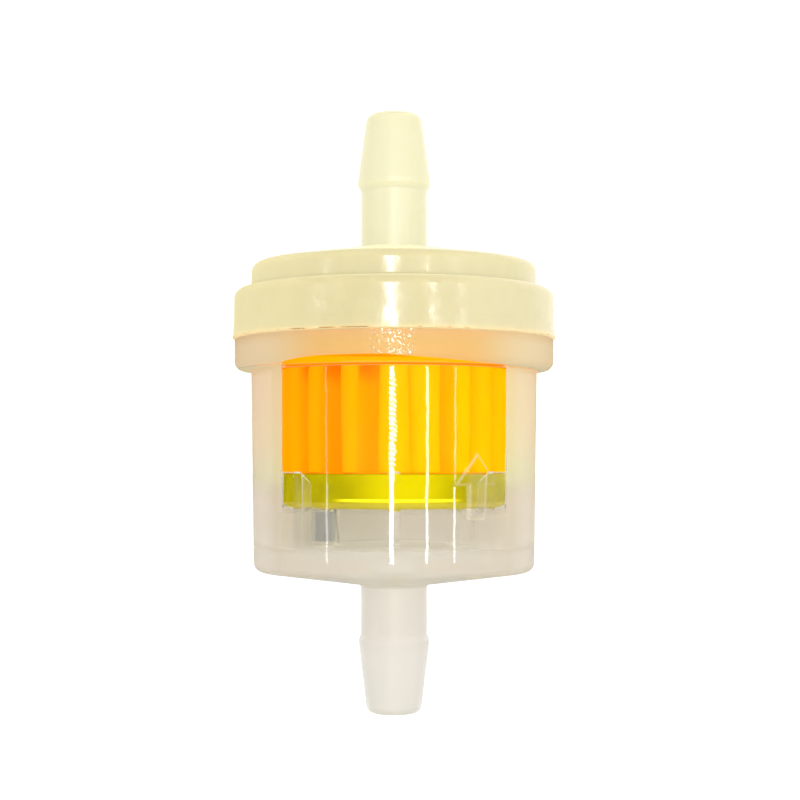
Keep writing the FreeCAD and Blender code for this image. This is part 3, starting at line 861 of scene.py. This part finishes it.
def clear_nylon():
    """Clear nylon, milky where the light runs a long way through it: sides, floor, barb and rim."""
    material, n = new_material("clear_nylon")
    path = n.add("ShaderNodeLightPath")
    cup = cup_zones(n)
    soft, flattened, hatched = cup_normals(n, cup)
    ior = n.minus(1.5, n.times(cup.rib, 0.44))

    tint = n.blend(cup.rim, (0.99, 0.985, 0.97), (0.97, 0.9, 0.82))
    tint = n.blend(cup.shaded, tint, (0.4, 0.42, 0.43))
    blur = n.strongest(n.times(cup.stem, 0.5), n.times(cup.floor, 0.3),
                       n.times(cup.rim, 0.45), n.times(cup.rib, 0.1))
    through = n.add("ShaderNodeBsdfRefraction", Color=tint, Roughness=n.plus(blur, 0.02), IOR=ior,
                    Normal=flattened)
    milk = cup_milk(n, cup)
    scatter = n.mix(0.5, n.add("ShaderNodeBsdfDiffuse", Color=milk).outputs[0],
                    n.add("ShaderNodeBsdfTranslucent", Color=milk).outputs[0])
    inside = n.mix(cup_haze(n, cup, path), through.outputs[0], scatter)

    gloss = n.strongest(n.times(cup.rim, 0.14), n.times(cup.stem, 0.4))
    shine = n.add("ShaderNodeBsdfAnisotropic", Color=(1, 1, 1), Roughness=n.plus(gloss, 0.05),
                  Normal=hatched)
    seen = n.mix(cup_mirror(n, cup, ior, soft), inside, shine.outputs[0])

    lighting = n.math("MAXIMUM", path.outputs["Is Shadow Ray"], path.outputs["Is Diffuse Ray"])
    open_tint = n.blend(cup.rim, (1, 1, 1), (0.9, 0.86, 0.8))
    open_way = n.add("ShaderNodeBsdfTransparent", Color=open_tint).outputs[0]
    n.output(n.mix(lighting, seen, open_way))
    return material


def cap_colour(n, vector, x, z, skirt):
    """Cream, paler on the stem; paler on the right as painted light, the flange darker than the disc as
    painted shade, and the skirt over the paper painted orange as painted light from the paper, deeper at
    its lower edge.
    """
    cloud = n.noise(vector, 0.25, 4.0)
    body = n.blend(n.ramp(cloud, 0.3, 0.7), (0.6, 0.535, 0.3), (0.62, 0.555, 0.315))
    # Paler and bluer towards the right: painted light of the light falling from the right.
    body = n.blend(n.ramp(x, -2.0, 12.0, 0.0, 0.6), body, (0.64, 0.58, 0.38))
    # The disc is paler than the flange: the flange is painted darker as painted shade against the extra
    # light it catches from the floor.
    disc = n.blend(n.ramp(z, FLANGE_TOP - 0.45, FLANGE_TOP + 0.55, 0.0, 0.5), body, (0.64, 0.58, 0.34))
    pale = n.blend(n.ramp(z, DISC_TOP - 0.15, DISC_TOP + 1.55), disc, (0.7, 0.67, 0.44))
    # The skirt over the paper is painted orange, deeper at its lower edge: painted light from the paper,
    # not the nylon's own colour.
    warm = n.blend(skirt, pale, (0.94, 0.28, 0.0))
    skirt_end = n.times(skirt, n.ramp(z, CAP_LOW.z + 0.12, CAP_LOW.z + 0.3, 0.85, 0.0))
    return n.blend(skirt_end, warm, (0.7, 0.13, 0.0))


def cap_scorch(n, vector, x, z, radius):
    """Brown marks along the lip's lower edge: where they are, and their shader."""
    edge = n.times(n.fade(z, JOINT + 0.14, JOINT + 0.24),
                   n.ramp(radius, LIP_RADIUS - 0.27, LIP_RADIUS - 0.17))
    away = n.size(n.plus(x, 6.0))
    patchy = n.minus(n.noise(vector, 0.55, 2.0), n.ramp(away, 3.0, 6.0, -0.03, 0.12))
    burnt = n.blend(n.ramp(patchy, 0.46, 0.54), (0.6, 0.32, 0.08), (0.3, 0.14, 0.03))
    scorched = n.times(edge, n.ramp(patchy, 0.42, 0.54, 0.45, 0.95))
    return scorched, n.add("ShaderNodeBsdfDiffuse", Color=burnt)


def cream_nylon():
    """Natural nylon: cream, glossy and a little translucent. Its emission is painted light that flattens
    its shading, and the skirt over the paper glows orange as painted light from the paper.
    """
    material, n = new_material("cream_nylon")
    vector, x, y, z, radius = n.place()
    skirt = n.times(n.fade(radius, MOUTH_RADIUS + 0.25, TONGUE_INNER),
                    n.fade(z, JOINT + 0.9, JOINT + 1.9))
    stem = n.ramp(z, DISC_TOP + 0.15, DISC_TOP + 1.15)
    colour = cap_colour(n, vector, x, z, skirt)
    ripple = n.bump(n.noise(vector, 0.42, 1.0), 0.0001)
    normal = n.bump(n.noise(vector, 2.6, 3.0), 0.000006, ripple)
    # The specular level is raised in a strip down the front middle and in noise patches: highlights placed
    # where the lamps' reflections show from the front.
    middle = n.fade(n.size(x), 1.2, 2.2)
    patch = n.ramp(n.noise(vector, 0.75, 1.0), 0.47, 0.57, 0.3, 0.9)
    patch = n.times(patch, n.ramp(x, 4.5, 6.5, 1.0, 0.4), n.ramp(x, -9.0, -6.0))
    # The emission is painted light: it flattens the cap's shading.
    shell = n.add("ShaderNodeBsdfPrincipled", Base_Color=n.blend(0.4, (0, 0, 0), colour),
                  Roughness=n.plus(0.19, n.times(stem, 0.22)), IOR=1.5, Normal=normal,
                  Subsurface_Weight=0.9, Subsurface_Radius=(1.0, 0.8, 0.45), Subsurface_Scale=0.0022,
                  Specular_IOR_Level=n.strongest(middle, patch, n.times(stem, 0.7)),
                  Emission_Color=colour, Emission_Strength=0.74)
    # The skirt's glow: painted orange light from the paper.
    glow = n.add("ShaderNodeBsdfPrincipled", Base_Color=colour, Roughness=0.6, Specular_IOR_Level=0.0,
                 Emission_Color=colour, Emission_Strength=0.35)
    scorched, flash = cap_scorch(n, vector, x, z, radius)
    n.output(n.mix(scorched, n.mix(skirt, shell.outputs[0], glow.outputs[0]), flash.outputs[0]))
    return material


def filter_paper():
    """Resin-soaked orange paper with fine fibres. Its emission is a painted glow standing in for light
    through the paper from all sides; the deeper orange in the folds and at the folds' tops on the left is
    painted shade, and the paler orange from the middle rightwards is painted light.
    """
    material, n = new_material("filter_paper")
    vector, x, y, z, radius = n.place()
    # Deeper orange in towards the folds: painted shade.
    base = n.blend(n.ramp(radius, 7.5, 10.6), (0.92, 0.22, 0.0), (0.95, 0.243, 0.0))
    # Paler, yellower orange from the middle rightwards and deepest on the left: painted light and shade of
    # light falling from the right.
    side = n.minus(n.ramp(x, -6.5, 0.5, 0.0, 0.8), n.ramp(x, 2.5, 11.0, 0.0, 0.22))
    tone = n.blend(side, base, (0.95, 0.4, 0.0))
    fibre = n.noise(vector, 1.6, 5.0, stretch=(1.0, 1.0, 0.25))
    colour = n.blend(n.ramp(fibre, 0.35, 0.75, 0.0, 0.25), tone, (0.95, 0.25, 0.0))
    # The folds' tops under the rim, most on the left, are painted deeper orange: painted shade.
    top = n.times(n.ramp(z, RIM_LOW - 2.1, RIM_LOW + 0.1), n.fade(radius, 9.6, 10.4),
                  n.ramp(x, -3.0, 0.0, 0.75, 0.0))
    colour = n.blend(top, colour, (0.85, 0.13, 0.0))
    # The emission is a painted glow standing in for light through the paper.
    shader = n.add("ShaderNodeBsdfPrincipled", Base_Color=n.blend(0.55, (0, 0, 0), colour), Roughness=0.6,
                   Specular_IOR_Level=0.0, Normal=n.bump(fibre, 0.00003),
                   Emission_Color=colour, Emission_Strength=0.95)
    n.output(shader.outputs[0])
    return material


def yellow_plastic():
    """Moulded translucent yellow-green plastic; its brighter middle and the bright line on its lower step
    are painted highlight, and its darker top edge is painted shade under the paper.
    """
    material, n = new_material("yellow_plastic")
    vector, x, y, z, radius = n.place()
    cloud = n.noise(vector, 0.5, 3.0)
    body = n.blend(n.ramp(cloud, 0.3, 0.7), (0.29, 0.245, 0.0), (0.36, 0.31, 0.0))
    # A brighter strip down the middle: painted highlight.
    colour = n.blend(n.fade(n.size(n.minus(x, 0.8)), 1.0, 6.0), body, (0.55, 0.46, 0.0))
    across = n.fade(n.size(n.minus(x, 0.3)), 4.0, 6.0)
    height = n.minus(z, DISH_LOW.z)
    # A bright line along the lower step, across the middle: painted highlight.
    sill = n.times(n.ramp(height, 0.65, 0.75), n.fade(height, 0.9, 1.0), across)
    colour = n.blend(sill, colour, (1.0, 0.88, 0.02))
    colour = n.blend(n.ramp(height, 0.5, 0.7, 0.7, 0.0), colour, (0.4, 0.33, 0.04))
    # Darker orange from just under the dish's top edge upwards: painted shade where the paper stands on the
    # rim.
    colour = n.blend(n.ramp(z, DISH_HIGH.z - 0.2, DISH_HIGH.z - 0.05, 0.0, 0.8), colour, (0.3, 0.17, 0.0))
    shader = n.add("ShaderNodeBsdfPrincipled", Base_Color=colour, Roughness=0.25, Specular_IOR_Level=0.0,
                   Normal=n.bump(n.noise(vector, 1.5, 3.0), 0.00002), Subsurface_Weight=0.4,
                   Subsurface_Radius=(1.0, 0.8, 0.1), Subsurface_Scale=0.001)
    n.output(shader.outputs[0])
    return material


def adhesive():
    """Set amber adhesive with small bubbles."""
    material, n = new_material("adhesive")
    vector = n.place()[0]
    cloud = n.noise(vector, 0.8, 4.0)
    colour = n.blend(n.ramp(cloud, 0.3, 0.7), (0.62, 0.45, 0.12), (0.78, 0.62, 0.22))
    bubbles = n.add("ShaderNodeTexVoronoi", Vector=vector, Scale=2.5).outputs["Distance"]
    normal = n.bump(n.ramp(bubbles, 0.0, 0.3), 0.00003)
    shader = n.add("ShaderNodeBsdfPrincipled", Base_Color=colour, Roughness=0.35, Normal=normal)
    n.output(shader.outputs[0])
    return material


def pale_floor():
    """Matt white board, lit so evenly that it almost meets the background."""
    material, n = new_material("pale_floor")
    fleck = n.noise(n.add("ShaderNodeTexCoord").outputs["Object"], 900.0, 2.0)
    colour = n.blend(fleck, (0.86, 0.86, 0.86), (0.9, 0.9, 0.9))
    shader = n.add("ShaderNodeBsdfPrincipled", Base_Color=colour, Roughness=0.9,
                   Emission_Color=(1, 1, 1), Emission_Strength=0.22)
    n.output(shader.outputs[0])
    return material


# ---------------------------------------------------------------- stage

CAMERA_DISTANCE = 162.0
CAMERA_HEIGHT = 24.5
VIEW_WIDTH = 77.67
SHIFT_X = 0.0075
SHIFT_Y = 0.075
SENSOR = 36.0
FLOOR_GAP = 0.02


def add_floor():
    """A wide white board just under the inlet barb."""
    reach = 3000.0
    points = [(-reach, -reach, 0), (reach, -reach, 0), (reach, reach, 0), (-reach, reach, 0)]
    mesh = bpy.data.meshes.new("floor")
    mesh.from_pydata([tuple(c * MM for c in p) for p in points], [], [(0, 1, 2, 3)])
    floor = bpy.data.objects.new("floor", mesh)
    floor.location.z = CAD_BOUNDS[0][2] - FLOOR_GAP * MM
    bpy.context.scene.collection.objects.link(floor)
    mesh.materials.append(pale_floor())
    floor.visible_glossy = False


def add_world():
    """White all round, a little brighter from the right, and dark for reflections except from behind."""
    world = bpy.data.worlds.new("studio")
    bpy.context.scene.world = world
    world.use_nodes = True
    n = Nodes(world.node_tree)
    direction = n.add("ShaderNodeTexCoord").outputs["Generated"]
    across, along, _ = n.add("ShaderNodeSeparateXYZ", Vector=direction).outputs
    path = n.add("ShaderNodeLightPath")
    diffuse = path.outputs["Is Diffuse Ray"]
    mirrored = n.times(path.outputs["Is Reflection Ray"], n.rest(diffuse))
    fill = n.ramp(across, -1.0, 1.0, 0.98, 1.13, smooth=False)
    dark = n.ramp(along, 0.2, 0.7, 0.95, 0.1)
    strength = n.times(n.plus(n.times(diffuse, fill), n.rest(diffuse)), n.rest(n.times(mirrored, dark)))
    strength = n.plus(strength, n.times(path.outputs["Is Camera Ray"], 0.2))
    background = n.add("ShaderNodeBackground", Color=(1, 1, 1), Strength=strength)
    n.add("ShaderNodeOutputWorld", Surface=background.outputs[0])


def add_strip(name, azimuth, width, radiance, low=1.0, high=95.0, distance=150.0):
    """A tall light at an azimuth, some degrees wide, from one height to another, facing the object."""
    light = bpy.data.lights.new(name, "AREA")
    light.shape = "RECTANGLE"
    light.size = 2 * distance * math.tan(math.radians(width / 2)) * MM
    light.size_y = (high - low) * MM
    light.energy = radiance * math.pi * light.size * light.size_y
    lamp = bpy.data.objects.new(name, light)
    x, y = polar(distance, azimuth)
    lamp.location = (x * MM, y * MM, (low + high) / 2 * MM)
    lamp.rotation_euler = (math.radians(90), 0, math.radians(azimuth))
    lamp.visible_camera = False
    bpy.context.scene.collection.objects.link(lamp)
    return lamp


def add_lights():
    """Four narrow strips that draw the upright highlights, and a broad soft light without highlights."""
    add_strip("key_strip", -1.25, 2.4, 36.0)
    add_strip("right_strip", 24.9, 1.9, 16.0)
    add_strip("far_right_strip", 46.9, 1.6, 14.0)
    add_strip("left_strip", -52.4, 1.5, 8.0)
    soft = add_strip("soft_front", 6.0, 60.0, 1.0, low=40.0, high=400.0, distance=500.0)
    soft.visible_glossy = False
    soft.visible_transmission = False


def add_camera():
    """Level camera in front, a little below the middle, with the lens shifted to frame the whole part."""
    data = bpy.data.cameras.new("camera")
    data.sensor_width = SENSOR
    data.lens = SENSOR * CAMERA_DISTANCE / VIEW_WIDTH
    data.shift_x = SHIFT_X
    data.shift_y = SHIFT_Y
    data.clip_start = 0.01
    camera = bpy.data.objects.new("camera", data)
    camera.location = (0, -CAMERA_DISTANCE * MM, CAMERA_HEIGHT * MM)
    camera.rotation_euler = (math.radians(90), 0, 0)
    bpy.context.scene.collection.objects.link(camera)
    bpy.context.scene.camera = camera


def set_render_look():
    """Plain display colours, and enough bounces to see through both walls of the cup."""
    scene = bpy.context.scene
    scene.view_settings.view_transform = "Standard"
    scene.view_settings.look = "None"
    scene.cycles.max_bounces = 16
    scene.cycles.transmission_bounces = 14
    scene.cycles.glossy_bounces = 8
    scene.cycles.diffuse_bounces = 5
    scene.cycles.transparent_max_bounces = 16
    scene.cycles.caustics_reflective = False
    scene.cycles.sample_clamp_indirect = 6.0


def paint_node(node, material):
    """Give a CAD node that stays its material."""
    node_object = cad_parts[node]
    node_object.data.materials.clear()
    node_object.data.materials.append(material)


build_cup(clear_nylon())
build_cap(cream_nylon())
build_paper(filter_paper())
yellow = yellow_plastic()
build_dish(yellow)
paint_node("upper_end_cap", yellow)
glue = adhesive()
for glued in ("lower_potting", "upper_potting", "paper_seam"):
    paint_node(glued, glue)

add_floor()
add_world()
add_lights()
add_camera()
set_render_look()
